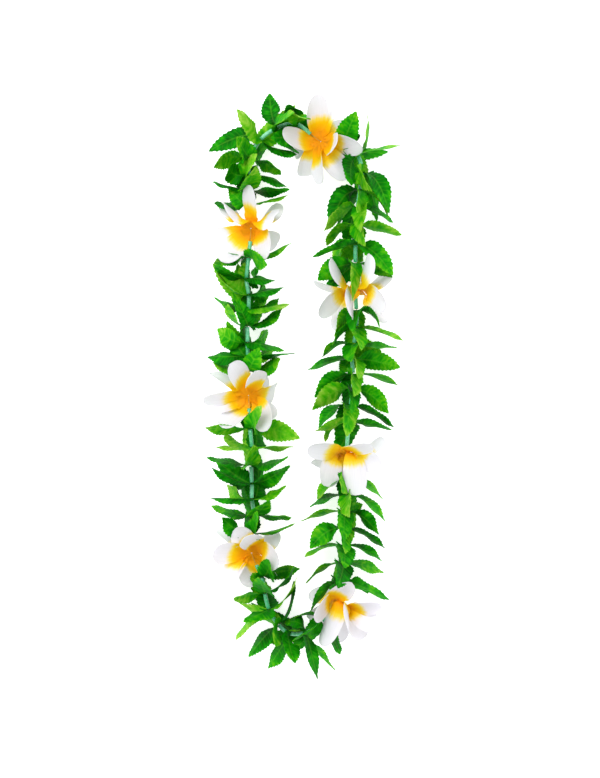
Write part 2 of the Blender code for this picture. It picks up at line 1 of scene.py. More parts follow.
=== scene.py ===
"""Looks of the lei: die-cut satin leaves, airbrushed plumeria blooms, spacer tubes and the knotted cord.

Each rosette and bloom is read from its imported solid, folded back to its middle sheet, and cut again as fine
cloth along the same curves: toothed and veined leaves, and cupped petals with rolled rims.
"""
import math
import random

import bmesh
import bpy
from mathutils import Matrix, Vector


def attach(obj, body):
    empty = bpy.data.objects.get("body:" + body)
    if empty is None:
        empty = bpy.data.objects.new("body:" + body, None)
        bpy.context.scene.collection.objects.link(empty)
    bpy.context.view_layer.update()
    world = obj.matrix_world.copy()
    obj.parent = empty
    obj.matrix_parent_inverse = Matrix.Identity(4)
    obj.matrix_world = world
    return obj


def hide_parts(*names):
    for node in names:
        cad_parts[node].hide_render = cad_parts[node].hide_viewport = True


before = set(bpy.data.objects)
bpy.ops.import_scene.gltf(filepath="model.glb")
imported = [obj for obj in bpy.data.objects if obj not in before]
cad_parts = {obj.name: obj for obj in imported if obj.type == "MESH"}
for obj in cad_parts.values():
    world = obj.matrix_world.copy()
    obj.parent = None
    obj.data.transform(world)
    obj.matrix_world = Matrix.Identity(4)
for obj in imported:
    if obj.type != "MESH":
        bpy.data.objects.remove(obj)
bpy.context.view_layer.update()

MM = 0.001
SEED = 7
ROSETTE_COUNT = 52
# The bloom that is strung after a rosette, by the rosette's number.
BLOOM_AFTER = {7: "flower_4", 14: "flower_3", 22: "flower_2", 29: "flower_1", 37: "flower_5",
               45: "flower_6", 52: "flower_7"}

# Reading the solids: points this near are one, and edges up to this long run through a blade's thickness.
SAME_POINT = 0.01 * MM
THICKEST = 0.9 * MM
# How wide the blade is cut, left and right of its rib, at shares of its length.
LEAF_CUT = [(0.00, 1.0, 1.0), (0.30, 0.44, 0.31), (0.44, 0.37, 0.51), (0.58, 0.49, 0.37),
            (0.72, 0.32, 0.43), (0.86, 0.27, 0.17), (1.00, 1.0, 1.0)]
PETAL_CUT = [(0.00, 1.0, 1.0), (0.20, 0.13, 0.13), (0.44, 0.36, 0.36), (0.68, 0.50, 0.50),
             (0.88, 0.42, 0.42), (1.00, 0.15, 0.15)]

# The cloth
CLOTH_THICKNESS = 0.34 * MM
LOWEST_CLOTH = 0.2 * MM
SEAM_REACH = 0.05 * MM
SHARP_EDGE = math.radians(55)
HUB_HOLE = 0.6 * MM
HUB_PLACE = -0.05

# Leaves
LEAF_SECTOR = math.pi / 2
LEAF_COLUMNS = (-1.0, -0.56, -0.12, 0.0, 0.12, 0.56, 1.0)
LEAF_WIDTHS = [(0.0, 0.14), (0.08, 0.24), (0.20, 0.41), (0.34, 0.49), (0.46, 0.50), (0.60, 0.485),
               (0.74, 0.42), (0.86, 0.29), (0.94, 0.16), (1.0, 0.0)]
LEAF_SPREAD = 1.13
LEAF_STALK = 0.07
TEETH = 11
TEETH_FROM = 0.13
TEETH_TO = 0.97
TOOTH_PITCH = (TEETH_TO - TEETH_FROM) / TEETH
TOOTH_PEAK = 0.70
TOOTH_DEPTH = 1.1 * MM
DEEPEST_TOOTH = 0.3
VEIN_SLANT = 0.42
VEIN_RELIEF = 0.096 * MM
RIB_GROOVE = 0.25 * MM
LEAF_FOLD = (0.06, 0.28)
FOLD_LEVEL = 0.15
LEAF_WAVE = 0.9 * MM
LEAF_WAVES = (1.1, 1.9)
LEAF_SETTLE = 0.16
TIP_SETTLE = 6

# Petals
PETAL_COLUMNS = (-1.0, -0.72, -0.36, 0.0, 0.36, 0.72, 1.0)
PETAL_SHARES = (0.0, 0.07, 0.14, 0.22, 0.30, 0.38, 0.46, 0.54, 0.62)
PETAL_WIDEST = 0.70
PETAL_END = 1.02
PETAL_END_STEPS = 7
PETAL_END_POWER = 2.8
PETAL_WIDTHS = [(0.0, 0.10), (0.07, 0.19), (0.15, 0.26), (0.30, 0.35), (0.45, 0.43), (0.60, 0.485),
                (0.70, 0.50)]
PETAL_SPREAD = 1.12
PETAL_LEAN = 0.5
PETAL_CUP = 0.20
PETAL_CUP_RANGE = (0.7, 1.4)
PETAL_SINK = 0.08
PETAL_RECURVE = 16 * MM
PETAL_RECURVE_RANGE = (0.3, 1.2)
PETAL_RECURVE_FROM = 0.55
PETAL_RUFFLE = 0.4 * MM
PETAL_RUFFLE_TURN = 9
PETAL_LAYER = 0.45 * MM
PETAL_SETTLE = 0.16

# Cord and tubes
STRAND_RADIUS = 0.16 * MM
STRAND_OFFSET = 0.15 * MM
TWIST_LENGTH = 2.4 * MM
TWIST_POINTS = 6
THREAD_STEPS = 14
TUBE_OUTER = 1.8 * MM
TUBE_INNER = 1.2 * MM
TUBE_SIDES = 16
TUBE_STATIONS = 5
TUBE_ROUND = 0.14 * MM
GAP_AT_ROSETTE = 1.0 * MM
GAP_BEHIND_BLOOM = 4.0 * MM
GAP_BEFORE_BLOOM = 13.0 * MM
SHORTEST_TUBE = 3.0 * MM
KNOT_AFTER_BLOOM = 4.0 * MM
KNOT_SIZE = 0.42 * MM
KNOT_STRAND = 0.42 * MM
KNOT_POINTS = 36

# Dyes and sprays, as places on a scale and their colours; the leaf's yellow-green end is partly painted light
# through the cloth
LEAF_DYES_AND_GLOW = [(0.0, (0.0005, 0.085, 0.0005)), (0.22, (0.001, 0.175, 0.0005)), (0.42, (0.012, 0.30, 0.001)),
             (0.62, (0.085, 0.42, 0.002)), (0.85, (0.25, 0.53, 0.035)), (1.0, (0.37, 0.63, 0.11))]
VEIN_COLOUR = (0.16, 0.54, 0.03)
PETAL_SPRAY = [(0.0, (0.89, 0.30, 0.0)), (0.17, (0.89, 0.33, 0.0)), (0.31, (0.89, 0.42, 0.0)),
               (0.47, (0.89, 0.53, 0.0)), (0.56, (0.87, 0.65, 0.08)), (0.66, (0.765, 0.745, 0.815))]
PETAL_VEIN_COLOUR = (0.62, 0.64, 0.66)
TUBE_TINTS = [(0.2, (0.06, 0.52, 0.22)), (0.8, (0.22, 0.78, 0.44))]
CORD_TINTS = [(0.3, (0.34, 0.22, 0.03)), (0.7, (0.62, 0.44, 0.12))]
FLOOR_WHITE = (0.93, 0.93, 0.93, 1.0)
GLOW_WHITE = (1.0, 1.0, 1.0, 1.0)

# What shifts a place on those scales, each as a gain and an offset
# Lighter towards the tip: partly dye, partly painted light shining through the cloth
LEAF_TIP_DYE_AND_GLOW = (0.34, 0.03)
LEAF_ACROSS = (0.14, 0.0)
LEAF_BY_LEAF = (0.56, -0.15)
LEAF_CLOUDS = (0.7, -0.35)
LEAF_STREAKS = (0.9, -0.45)
PETAL_STREAKS = (0.14, -0.07)
PETAL_ACROSS = (0.05, -0.02)
PETAL_BY_PETAL = (0.08, -0.04)

# Pattern sizes. Noise on the object's own coordinates is per metre, and the rest is per blade.
NOISE_ROUGHNESS = 0.55
LEAF_CLOUD_SCALE = 75.0
LEAF_STREAK_SCALE = 0.9
LEAF_STREAK_FAN = 1.3
LEAF_STREAK_STEP = 40.0
PETAL_STREAK_STRETCH = (2.0, 9.0)
PETAL_VEIN_STRETCH = (1.2, 22.0)
TUBE_CLOUD_SCALE = 260.0
FIBRE_SCALE = 1800.0
LEAF_SIZE_MM = (48, 19)
PETAL_SIZE_MM = (40, 19)
THREAD_PITCH_MM = 0.45

# Where the pressed lines run and fade: shares of the blade, or of the pitch of the teeth.
VEIN_WIDTH = 0.2
VEIN_ENDS = (0.6, 0.95)
VEIN_START = (0.06, 0.16)
RIB_EDGE = (0.03, 0.12)
VEIN_STRENGTH = 0.45
LINE_PALENESS = 0.20
PETAL_VEIN_EDGES = (0.35, 0.7)
PETAL_VEIN_SHADE = 0.16

# Sheen: roughness between the two edges of the clouds
CLOUD_EDGES = (0.3, 0.7)
LEAF_ROUGHNESS = (0.5, 0.62)
TUBE_ROUGHNESS = (0.16, 0.32)

# Reliefs, each as a strength and a depth
THREAD_BUMP = (0.10, 0.12 * MM)
VEIN_BUMP = (0.3, 0.25 * MM)
PETAL_VEIN_BUMP = (0.35, 0.6 * MM)
FIBRE_BUMP = (0.4, 0.1 * MM)
LIGHT_DEPTH = 1.5 * MM

# The view: straight down, with the photograph's field at the height of the cord.
VIEW_CENTRE = (-3.7 * MM, -3.55 * MM)
CORD_HEIGHT = 24 * MM
VIEW_HEIGHT = 700.2 * MM
CAMERA_DISTANCE = 2.2
FILM_HEIGHT = 24.0
FARTHEST_SEEN = 50.0

# The floor, the room and the lamp, in metres and watts
FLOOR_SIZE = 6.0
FLOOR_DROP = 0.2 * MM
FLOOR_GLOW = 0.7
ROOM_LIGHT = 1.0
LAMP_PLACE = (-0.7, 0.8, 1.9)
LAMP_SIDE = 0.9
LAMP_POWER = 25.0


def mixed(a, b, share):
    return a + (b - a) * share


def smoothstep(x):
    x = min(1.0, max(0.0, x))
    return x * x * (3 - 2 * x)


def read_table(table, share):
    """The value at a share of the length, between the pairs of a table."""
    for (start, low), (end, high) in zip(table, table[1:]):
        if share <= end:
            return mixed(low, high, (share - start) / (end - start))
    return table[-1][1]


class Strip:
    """One leaf or petal as read from the solid: its spine, the direction across it, and its size."""

    def __init__(self, chain, centre, facing, cut):
        out = ((chain[0] + chain[-1]) / 2 - centre).normalized()
        if out.cross(chain[-1] - chain[0]).dot(facing) < 0:
            chain = chain[::-1]
        rows = []
        for k, (share, left, right) in enumerate(cut):
            across = chain[-1 - k] - chain[k]
            rows.append((share, chain[k] + across * left / (left + right), across, left + right))
        self.centre = centre
        self.facing = facing
        self.out = out
        self.root = rows[0][1]
        self.tip = rows[-1][1]
        crest = Vector()
        for share, rib, across, wide in rows[1:-1]:
            rest = 1 - share
            crest += (rib - self.root * rest * rest - self.tip * share * share) / (2 * share * rest)
        self.crest = crest / (len(rows) - 2)
        self.turns = [(share, across.normalized()) for share, rib, across, wide in rows if across.length > MM]
        self.width = sum(across.length / wide for share, rib, across, wide in rows[1:-1]) / (len(rows) - 2)

    def spine(self, share):
        rest = 1 - share
        return self.root * rest * rest + self.crest * 2 * share * rest + self.tip * share * share

    def along(self, share):
        return ((self.crest - self.root) * (1 - share) + (self.tip - self.crest) * share).normalized()

    def across(self, share):
        found = self.turns[-1][1]
        for (start, first), (end, second) in zip(self.turns, self.turns[1:]):
            if share <= end:
                found = first.lerp(second, smoothstep((share - start) / (end - start)))
                break
        along = self.along(share)
        return (found - along * found.dot(along)).normalized()

    def point(self, share, aside, lift):
        """A point at a share of the length, set aside and lifted off the sheet, but not below the floor."""
        across = self.across(share)
        place = self.spine(share) + across * aside + self.along(share).cross(across) * lift
        place.z = max(place.z, LOWEST_CLOTH)
        return place

    def hub_point(self, column, sector):
        """Where a column's line ends, at the hole in the hub."""
        angle = column * sector / 2
        return self.centre + (self.out * math.cos(angle) + self.across(0) * math.sin(angle)) * HUB_HOLE


def rim_loops(sheet):
    """The open edges of a sheet, as closed runs of points."""
    loops = []
    seen = set()
    for start in sheet.verts:
        if start in seen:
            continue
        loop = []
        vert = start
        while vert:
            seen.add(vert)
            loop.append(vert.co.copy())
            beside = [edge.other_vert(vert) for edge in vert.link_edges if edge.is_boundary]
            vert = next((other for other in beside if other not in seen), None)
        loops.append(loop)
    return sorted(loops, key=len)


def strips_of(node, cut, towards):
    """The leaves or petals of a node, read from its solid folded back to a sheet."""
    sheet = bmesh.new()
    sheet.from_mesh(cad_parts[node].data)
    bmesh.ops.remove_doubles(sheet, verts=sheet.verts, dist=SAME_POINT)
    walls = [edge for edge in sheet.edges if edge.calc_length() < THICKEST]
    bmesh.ops.collapse(sheet, edges=walls)
    hole, rim = rim_loops(sheet)
    sheet.free()
    count = len(hole)
    centre = sum(hole, Vector()) / count
    facing = (hole[0] - centre).cross(hole[1] - centre).normalized()
    if facing.dot(towards) < 0:
        facing.negate()
    first = min(range(len(rim)), key=lambda k: (rim[k] - centre).length)
    step = len(rim) // count
    chains = [[rim[(first + k * step + i) % len(rim)] for i in range(step + 1)] for k in range(count)]
    return [Strip(chain, centre, facing, cut) for chain in chains]


def hub_of(node):
    """The middle of the hole in a node's hub, and the way that the hub faces."""
    strip = strips_of(node, LEAF_CUT if node.startswith("leaf") else PETAL_CUT, Vector((0, 0, 1)))[0]
    return strip.centre, strip.facing


def lay_grid(cloth, columns, rows, tint):
    """A grid of cloth through rows of (place along, points), marked with its place for the patterns."""
    cut_map, tint_map = cloth.loops.layers.uv["cut"], cloth.loops.layers.uv["tint"]
    grid = bmesh.ops.create_grid(cloth, x_segments=len(columns) - 1, y_segments=len(rows) - 1, size=1.0)
    verts = sorted(grid["verts"], key=lambda v: (round(v.co.y, 4), v.co.x))
    marks = {}
    faces = set()
    for k, (place, points) in enumerate(rows):
        for i, point in enumerate(points):
            vert = verts[k * len(columns) + i]
            vert.co = point
            marks[vert] = (place, 0.5 + 0.5 * columns[i])
            faces.update(vert.link_faces)
    for face in faces:
        for loop in face.loops:
            loop[cut_map].uv = marks[loop.vert]
            loop[tint_map].uv = tint


def new_cloth():
    """An empty cloth with maps for the patterns and for the tint of each blade."""
    cloth = bmesh.new()
    cloth.loops.layers.uv.new("cut")
    cloth.loops.layers.uv.new("tint")
    return cloth


def leaf_rows(strip, rng):
    """Rows of a toothed leaf: each vein runs forward from the rib to a tooth, with a notch before it."""
    lines = [(0.0, 0.0, 0.0), (LEAF_STALK, 0.0, 0.0)]
    for k in range(TEETH):
        start = TEETH_FROM + k * TOOTH_PITCH
        lines.append((start, 1.0, VEIN_RELIEF))
        lines.append((start + TOOTH_PEAK * TOOTH_PITCH, 0.0, -VEIN_RELIEF))
    lines.append((1.0, 0.0, 0.0))
    fold = rng.uniform(*LEAF_FOLD)
    phase = rng.uniform(0, 2 * math.pi)
    waves = rng.uniform(*LEAF_WAVES)
    wide = strip.width * LEAF_SPREAD
    rows = [(HUB_PLACE, [strip.hub_point(column, LEAF_SECTOR) for column in LEAF_COLUMNS])]
    for place, notch, relief in lines:
        points = []
        for column in LEAF_COLUMNS:
            off = abs(column)
            share = place + VEIN_SLANT * place * (1 - place) * off
            half = wide * read_table(LEAF_WIDTHS, share)
            if notch and off == 1:
                half -= min(TOOTH_DEPTH, DEEPEST_TOOTH * half)
            settle = smoothstep(place / LEAF_SETTLE)
            lift = fold * (FOLD_LEVEL * wide - half * off)
            lift += relief * math.sin(math.pi * off) - (RIB_GROOVE if off == 0 else 0)
            wave = math.sin(phase + waves * 2 * math.pi * place)
            lift += LEAF_WAVE * wave * column * off
            tip_settle = min(1.0, TIP_SETTLE * (1 - place))
            points.append(strip.point(share, column * half, lift * settle * tip_settle))
        rows.append((place, points))
    return rows


def petal_half_width(share):
    """Half the width of a petal at a share of its length, as a share of its full width."""
    if share < PETAL_WIDEST:
        return read_table(PETAL_WIDTHS, share)
    reach = (share - PETAL_WIDEST) / (PETAL_END - PETAL_WIDEST)
    return 0.5 * max(0.0, 1 - reach ** PETAL_END_POWER) ** (1 / PETAL_END_POWER)


def petal_rows(strip, rng, sector, layer):
    """Rows of a round-ended petal: cupped at its rims, bent back at its end, and lifted by its layer."""
    shares = list(PETAL_SHARES)
    for k in range(PETAL_END_STEPS + 1):
        turn = math.pi / 2 * k / PETAL_END_STEPS
        shares.append(PETAL_WIDEST + (PETAL_END - PETAL_WIDEST) * math.sin(turn))
    phase = rng.uniform(0, 2 * math.pi)
    lean = rng.uniform(-PETAL_LEAN, PETAL_LEAN)
    cup = PETAL_CUP * rng.uniform(*PETAL_CUP_RANGE)
    recurve = PETAL_RECURVE * rng.uniform(*PETAL_RECURVE_RANGE)
    wide = strip.width * PETAL_SPREAD
    rows = [(HUB_PLACE, [strip.hub_point(column, sector) for column in PETAL_COLUMNS])]
    for share in shares:
        half = wide * petal_half_width(share)
        points = []
        for column in PETAL_COLUMNS:
            aside = column * half
            settle = smoothstep(share / PETAL_SETTLE)
            lift = cup * (abs(column) ** 3 * half * (1 + lean * column) - PETAL_SINK * wide)
            lift -= recurve * max(0.0, share - PETAL_RECURVE_FROM) ** 2
            lift += PETAL_RUFFLE * math.sin(phase + PETAL_RUFFLE_TURN * share) * column * abs(column)
            points.append(strip.point(share, aside, (lift + layer) * settle))
        rows.append((share, points))
    return rows


def finish_cloth(name, cloth, material, node):
    """Join the strips at the hub, give the cloth its thickness, and stand it in for its node."""
    bmesh.ops.remove_doubles(cloth, verts=cloth.verts, dist=SEAM_REACH)
    bmesh.ops.recalc_face_normals(cloth, faces=cloth.faces)
    data = bpy.data.meshes.new(name)
    cloth.to_mesh(data)
    cloth.free()
    piece = add_piece(name, data, material)
    wall = piece.modifiers.new("cloth thickness", "SOLIDIFY")
    wall.thickness = CLOTH_THICKNESS
    wall.offset = 0.0
    bake_shape(piece)
    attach(piece, "root")
    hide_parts(node)


def add_piece(name, data, material):
    """A mesh as an object of the scene, at the origin, in one material."""
    piece = bpy.data.objects.new(name, data)
    bpy.context.scene.collection.objects.link(piece)
    data.materials.clear()
    data.materials.append(material)
    return piece


def bake_shape(piece):
    """Take the modifiers into the mesh, shaded smooth with crisp cut edges."""
    bpy.context.view_layer.update()
    shape = bpy.data.meshes.new_from_object(piece.evaluated_get(bpy.context.evaluated_depsgraph_get()))
    piece.modifiers.clear()
    piece.data = shape
    shape.shade_smooth()
    shape.set_sharp_from_angle(angle=SHARP_EDGE)


def rosette(number, hubs, material, rng):
    """One rosette of toothed leaves, facing onward along the cord."""
    node = f"leaf_rosette_{number:02d}"
    order = list(hubs)
    at = order.index(node)
    onward = hubs[order[(at + 1) % len(order)]][0] - hubs[order[at - 1]][0]
    cloth = new_cloth()
    for strip in strips_of(node, LEAF_CUT, onward):
        lay_grid(cloth, LEAF_COLUMNS, leaf_rows(strip, rng), (rng.random(), rng.random()))
    finish_cloth(f"leaves_{number:02d}", cloth, material, node)


def bloom(number, material, rng):
    """One bloom, its petals lying alternately in an upper and a lower layer."""
    node = f"flower_{number}"
    cloth = new_cloth()
    strips = strips_of(node, PETAL_CUT, Vector((0, 0, 1)))
    for k, strip in enumerate(strips):
        layer = PETAL_LAYER if k % 2 else -PETAL_LAYER
        rows = petal_rows(strip, rng, 2 * math.pi / len(strips), layer)
        lay_grid(cloth, PETAL_COLUMNS, rows, (rng.random(), rng.random()))
    finish_cloth(f"bloom_{number}", cloth, material, node)


class Thread:
    """The cord's closed line, a smooth curve through the middle of every hub."""

    def __init__(self, hubs):
        knots = [centre for centre, facing in hubs.values()]
        count = len(knots)
        self.points = []
        for i in range(count):
            before, start, end, after = (knots[(i + k) % count] for k in (-1, 0, 1, 2))
            for step in range(THREAD_STEPS):
                s = step / THREAD_STEPS
                self.points.append(0.5 * (2 * start + (end - before) * s
                                          + (2 * before - 5 * start + 4 * end - after) * s * s
                                          + (3 * start - before - 3 * end + after) * s * s * s))
        self.marks = [0.0]
        for point, following in zip(self.points, self.points[1:] + self.points[:1]):
            self.marks.append(self.marks[-1] + (following - point).length)
        self.length = self.marks[-1]
        self.hubs = {name: self.marks[i * THREAD_STEPS] for i, name in enumerate(hubs)}
        self.facing = {name: facing for name, (centre, facing) in hubs.items()}

    def at(self, station):
        """The point at a distance along the cord."""
        station %= self.length
        i = max(k for k, mark in enumerate(self.marks[:-1]) if mark <= station)
        share = (station - self.marks[i]) / (self.marks[i + 1] - self.marks[i])
        return self.points[i].lerp(self.points[(i + 1) % len(self.points)], share)

    def frame(self, station):
        """The place at a station, with the directions along the cord, to the side and up."""
        along = (self.at(station + MM) - self.at(station - MM)).normalized()
        side = along.cross(Vector((0, 0, 1))).normalized()
        return self.at(station), along, side, side.cross(along)

    def bare_beside(self, name, onward):
        """How much cord is left bare beside a hub: more on the side that a bloom faces."""
        if name.startswith("leaf"):
            return GAP_AT_ROSETTE
        along = self.frame(self.hubs[name])[1]
        agreement = self.facing[name].dot(along)
        if (agreement > 0) != onward:
            return GAP_BEHIND_BLOOM
        return mixed(GAP_BEHIND_BLOOM, GAP_BEFORE_BLOOM, math.sqrt(1 - min(1.0, agreement * agreement)))


def curve_piece(name, runs, radius, material, resolution=1):
    """Round strands of one thickness along closed runs of points, as a mesh."""
    curve = bpy.data.curves.new(name, "CURVE")
    curve.dimensions = "3D"
    curve.bevel_depth = radius
    curve.bevel_resolution = resolution
    for run in runs:
        spline = curve.splines.new("POLY")
        spline.points.add(len(run) - 1)
        for point, place in zip(spline.points, run):
            point.co = (*place, 1.0)
        spline.use_cyclic_u = True
    holder = bpy.data.objects.new(name + "_line", curve)
    bpy.context.scene.collection.objects.link(holder)
    bpy.context.view_layer.update()
    data = bpy.data.meshes.new_from_object(holder.evaluated_get(bpy.context.evaluated_depsgraph_get()))
    bpy.data.objects.remove(holder)
    data.name = name
    data.shade_smooth()
    return add_piece(name, data, material)


def twisted_cord(thread, material):
    """Two thin strands twisted round each other, closed round the loop."""
    twists = round(thread.length / TWIST_LENGTH)
    count = twists * TWIST_POINTS
    runs = ([], [])
    for k in range(count):
        place, _, side, up = thread.frame(thread.length * k / count)
        angle = 2 * math.pi * k / TWIST_POINTS
        offset = (side * math.cos(angle) + up * math.sin(angle)) * STRAND_OFFSET
        runs[0].append(place + offset)
        runs[1].append(place - offset)
    piece = curve_piece("cord", runs, STRAND_RADIUS, material)
    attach(piece, "root")
    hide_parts("spacer_string")


def cord_knot(thread, material):
    """The small tight overhand knot that closes the loop."""
    place, along, side, up = thread.frame(thread.hubs["flower_7"] + KNOT_AFTER_BLOOM)
    loop = []
    for k in range(KNOT_POINTS):
        t = 2 * math.pi * k / KNOT_POINTS
        x = math.sin(t) + 2 * math.sin(2 * t)
        y = math.cos(t) - 2 * math.cos(2 * t)
        z = -math.sin(3 * t)
        loop.append(place + (along * x + side * y + up * z) * KNOT_SIZE)
    piece = curve_piece("cord_knot", [loop], KNOT_STRAND, material, resolution=2)
    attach(piece, "root")
    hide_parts("spacer_string")


def tube_profile(length):
    """The wall of a tube cut lengthwise, as radius and place along, with its rims rounded."""
    inside = TUBE_INNER + TUBE_ROUND
    outside = TUBE_OUTER - TUBE_ROUND
    stations = [mixed(TUBE_ROUND, length - TUBE_ROUND, k / (TUBE_STATIONS - 1)) for k in range(TUBE_STATIONS)]
    profile = [(inside, 0.0), (outside, 0.0)]
    profile += [(TUBE_OUTER, station) for station in stations]
    profile += [(outside, length), (inside, length)]
    profile += [(TUBE_INNER, station) for station in reversed(stations)]
    return profile


def spacer_tubes(thread, material, rng):
    """A short tube between each two hubs, following the cord."""
    tubes = bmesh.new()
    tubes.loops.layers.uv.new("cut")
    tint_map = tubes.loops.layers.uv.new("tint")
    names = list(thread.hubs)
    for name, following in zip(names, names[1:] + names[:1]):
        start = thread.hubs[name] + thread.bare_beside(name, True)
        room = (thread.hubs[following] - thread.hubs[name]) % thread.length
        end = thread.hubs[name] + room - thread.bare_beside(following, False)
        if end - start < SHORTEST_TUBE:
            continue
        rim = [tubes.verts.new((radius, 0.0, station)) for radius, station in tube_profile(end - start)]
        edges = [tubes.edges.new((a, b)) for a, b in zip(rim, rim[1:] + rim[:1])]
        before = set(tubes.faces)
        bmesh.ops.spin(tubes, geom=rim + edges, cent=(0, 0, 0), axis=(0, 0, 1), dvec=(0, 0, 0),
                       angle=2 * math.pi, steps=TUBE_SIDES, use_merge=True, use_duplicate=False)
        faces = [face for face in tubes.faces if face not in before]
        tint = (rng.random(), rng.random())
        for vert in {vert for face in faces for vert in face.verts}:
            place, _, side, up = thread.frame(start + vert.co.z)
            vert.co = place + side * vert.co.x + up * vert.co.y
        for face in faces:
            for loop in face.loops:
                loop[tint_map].uv = tint
    bmesh.ops.recalc_face_normals(tubes, faces=tubes.faces)
    data = bpy.data.meshes.new("spacer_tubes")
    tubes.to_mesh(data)
    tubes.free()
    data.shade_smooth()
    piece = add_piece("spacer_tubes", data, material)
    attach(piece, "root")
    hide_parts("spacer_string")


class Finish:
    """A material's shader, with short words for the nodes that feed it."""

    def __init__(self, name, **values):
        self.material = bpy.data.materials.new(name)
        self.material.use_nodes = True
        self.tree = self.material.node_tree
        self.shader = self.tree.nodes["Principled BSDF"]
        for key, value in values.items():
            self.shader.inputs[key.replace("_", " ")].default_value = value

    def node(self, kind, sources=(), **settings):
        """A node of a kind, with its inputs linked to sources or set to values."""
        node = self.tree.nodes.new("ShaderNode" + kind)
        for key, value in settings.items():
            setattr(node, key, value)
        for key, source in dict(sources).items():
            if isinstance(source, bpy.types.NodeSocket):
                self.tree.links.new(source, node.inputs[key])
            else:
                node.inputs[key].default_value = source
        return node

    def math(self, operation, a, b=0.0, c=0.0):
        """A sum, product or other simple function of up to three values."""
        return self.node("Math", {0: a, 1: b, 2: c}, operation=operation).outputs[0]

    def fade(self, value, start, end, low=0.0, high=1.0):
        """A value that runs from low to high while the source runs from start to end."""
        sources = {"Value": value, "From Min": start, "From Max": end, "To Min": low, "To Max": high}
        return self.node("MapRange", sources, interpolation_type="SMOOTHSTEP").outputs[0]

    def place(self, name):
        """The two values of a map: place along and across, or the two tints."""
        spot = self.node("UVMap", uv_map=name).outputs[0]
        parts = self.node("SeparateXYZ", {0: spot})
        return spot, parts.outputs[0], parts.outputs[1]

    def off_middle(self, across):
        """0 on the middle line of a blade and 1 at its rims."""
        return self.math("ABSOLUTE", self.math("MULTIPLY_ADD", across, 2.0, -1.0))

    def shifted(self, value, causes):
        """A value with each cause added to it by a gain and an offset."""
        for cause, (gain, offset) in causes:
            value = self.math("ADD", value, self.math("MULTIPLY_ADD", cause, gain, offset))
        return value

    def stretched(self, spot, along, across):
        """A map with its two directions scaled."""
        return self.node("Mapping", {"Vector": spot, "Scale": (along, across, 1.0)}).outputs[0]

    def noise(self, vector, scale, detail=3.0):
        """Soft random clouds."""
        sources = {"Vector": vector, "Scale": scale, "Detail": detail, "Roughness": NOISE_ROUGHNESS}
        return self.node("TexNoise", sources).outputs[0]

    def ramp(self, source, stops):
        """Colours along a scale."""
        node = self.node("ValToRGB", {0: source})
        stripe = node.color_ramp
        while len(stripe.elements) < len(stops):
            stripe.elements.new(0.5)
        for element, (position, colour) in zip(stripe.elements, stops):
            element.position = position
            element.color = (*colour, 1.0)
        return node.outputs[0]

    def blend(self, share, first, second, mode="MIX"):
        """Two colours mixed by a share."""
        node = self.node("Mix", data_type="RGBA", blend_type=mode)
        for key, source in ((0, share), (6, first), (7, second)):
            if isinstance(source, bpy.types.NodeSocket):
                self.tree.links.new(source, node.inputs[key])
            else:
                node.inputs[key].default_value = source if key == 0 else (*source, 1.0)
        return node.outputs[2]

    def weave(self, spot, size_mm):
        """Threads crossing at right angles, as a height."""
        length, width = size_mm
        sized = self.stretched(spot, length / THREAD_PITCH_MM, width / THREAD_PITCH_MM)
        warp = self.node("TexWave", {"Vector": sized, "Scale": 1.0}, bands_direction="X").outputs[1]
        weft = self.node("TexWave", {"Vector": sized, "Scale": 1.0}, bands_direction="Y").outputs[1]
        return self.math("MULTIPLY", warp, weft)

    def relief(self, height, strength, depth, below=None):
        """A height as a bump, over the bumps below it."""
        sources = {"Strength": strength, "Distance": depth, "Height": height}
        if below is not None:
            sources["Normal"] = below
        return self.node("Bump", sources).outputs[0]

    def feed(self, **sources):
        """Lead each source to the shader's input of that name."""
        for key, source in sources.items():
            self.tree.links.new(source, self.shader.inputs[key.replace("_", " ")])


